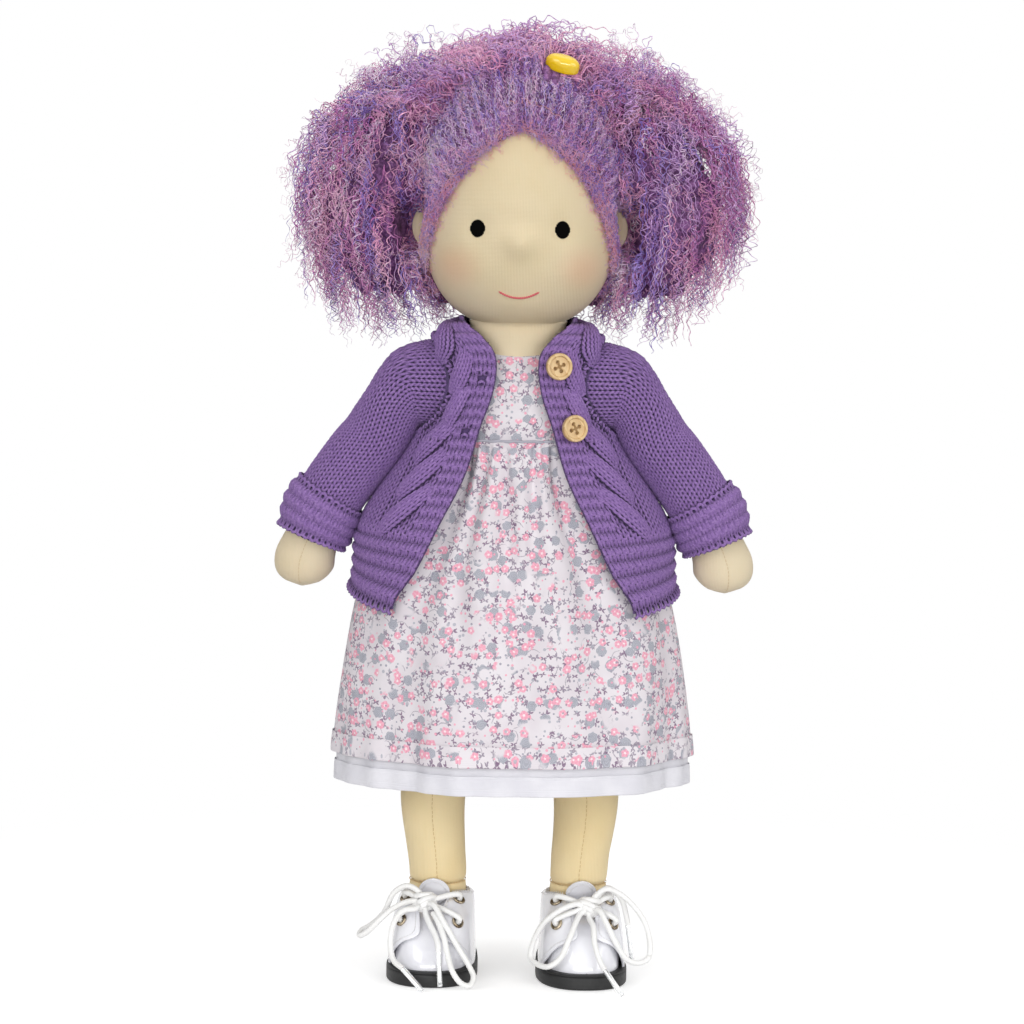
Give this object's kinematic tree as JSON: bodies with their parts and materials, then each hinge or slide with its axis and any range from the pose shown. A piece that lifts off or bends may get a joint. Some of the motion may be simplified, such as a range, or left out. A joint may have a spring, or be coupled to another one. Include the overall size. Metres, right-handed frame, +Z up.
{
  "type": "waldorf doll",
  "caption": "Standing cloth doll with mohair bunches, knitted cardigan, print dress with petticoat and laced shoes; head, arms and legs turn.",
  "frame": {"origin": "on the floor, midway between the shoes and under the ankles", "axes": "+Z up, the doll faces -Y, its own left side is at +X"},
  "size_m": [0.2074, 0.1177, 0.4061],
  "materials": {
    "jersey": "fine knitted cotton",
    "leg_jersey": "fine knitted cotton, a little warmer",
    "eye_thread": "satin-stitched black thread",
    "mouth_cotton": "twisted coral thread",
    "mohair": "curly mohair yarn dyed from plum to lilac",
    "clip_plastic": "glossy yellow",
    "printed_cotton": "plain weave with a small floral print",
    "white_cotton": "plain weave",
    "purple_wool": "hand-knitted heather wool",
    "pale_wood": "turned and oiled",
    "patent_leather": "white patent",
    "black_rubber": "matte",
    "antique_brass": "antiqued",
    "lace_cotton": "waxed woven cotton",
    "clear_plastic": "clear"
  },
  "bodies": {
    "torso": {"torso": "jersey", "dress_bodice": "printed_cotton", "dress_skirt": "printed_cotton", "petticoat": "white_cotton", "cardigan_back": "purple_wool", "cardigan_front_left": "purple_wool", "cardigan_front_right": "purple_wool", "button_upper": "pale_wood", "button_lower": "pale_wood"},
    "head": {"head": "jersey", "ear_left": "jersey", "ear_right": "jersey", "eye_left": "eye_thread", "eye_right": "eye_thread", "mouth_stitch": "mouth_cotton", "wig_cap": "mohair", "hair_bunch_left": "mohair", "hair_bunch_right": "mohair", "hair_clip": "clip_plastic"},
    "left_arm": {"arm_left": "jersey", "sleeve_left": "purple_wool", "cuff_left": "purple_wool"},
    "right_arm": {"arm_right": "jersey", "sleeve_right": "purple_wool", "cuff_right": "purple_wool"},
    "left_leg": {"leg_left": "leg_jersey", "foot_left": "leg_jersey", "outsole_left": "black_rubber", "vamp_left": "patent_leather", "quarters_left": "patent_leather", "tongue_left": "patent_leather", "eyelet_lower_outer_left": "antique_brass", "eyelet_lower_inner_left": "antique_brass", "eyelet_upper_outer_left": "antique_brass", "eyelet_upper_inner_left": "antique_brass", "lacing_left": "lace_cotton", "lace_loop_inner_left": "lace_cotton", "lace_loop_outer_left": "lace_cotton", "lace_end_front_left": "lace_cotton", "aglet_front_left": "clear_plastic", "lace_end_outer_left": "lace_cotton", "aglet_outer_left": "clear_plastic"},
    "right_leg": {"leg_right": "leg_jersey", "foot_right": "leg_jersey", "outsole_right": "black_rubber", "vamp_right": "patent_leather", "quarters_right": "patent_leather", "tongue_right": "patent_leather", "eyelet_lower_outer_right": "antique_brass", "eyelet_lower_inner_right": "antique_brass", "eyelet_upper_outer_right": "antique_brass", "eyelet_upper_inner_right": "antique_brass", "lacing_right": "lace_cotton", "lace_loop_inner_right": "lace_cotton", "lace_loop_outer_right": "lace_cotton", "lace_end_front_right": "lace_cotton", "aglet_front_right": "clear_plastic", "lace_end_outer_right": "lace_cotton", "aglet_outer_right": "clear_plastic"}
  },
  "joints": [
    {"name": "neck_turn", "type": "hinge", "parent": "torso", "child": "head", "pos_m": [0, 0, 0.2806], "axis": [0, 0, 1], "range_deg": [-30, 30]},
    {"name": "left_shoulder", "type": "hinge", "parent": "torso", "child": "left_arm", "pos_m": [0.0346, 0, 0.2536], "axis": [-1, 0, 0], "range_deg": [-30, 90]},
    {"name": "right_shoulder", "type": "hinge", "parent": "torso", "child": "right_arm", "pos_m": [-0.0346, 0, 0.2536], "axis": [-1, 0, 0], "range_deg": [-30, 90]},
    {"name": "left_hip", "type": "hinge", "parent": "torso", "child": "left_leg", "pos_m": [0.022, 0, 0.15], "axis": [-1, 0, 0], "range_deg": [-20, 90], "deforming": ["dress_skirt", "petticoat"]},
    {"name": "right_hip", "type": "hinge", "parent": "torso", "child": "right_leg", "pos_m": [-0.022, 0, 0.15], "axis": [-1, 0, 0], "range_deg": [-20, 90], "deforming": ["dress_skirt", "petticoat"]}
  ]
}
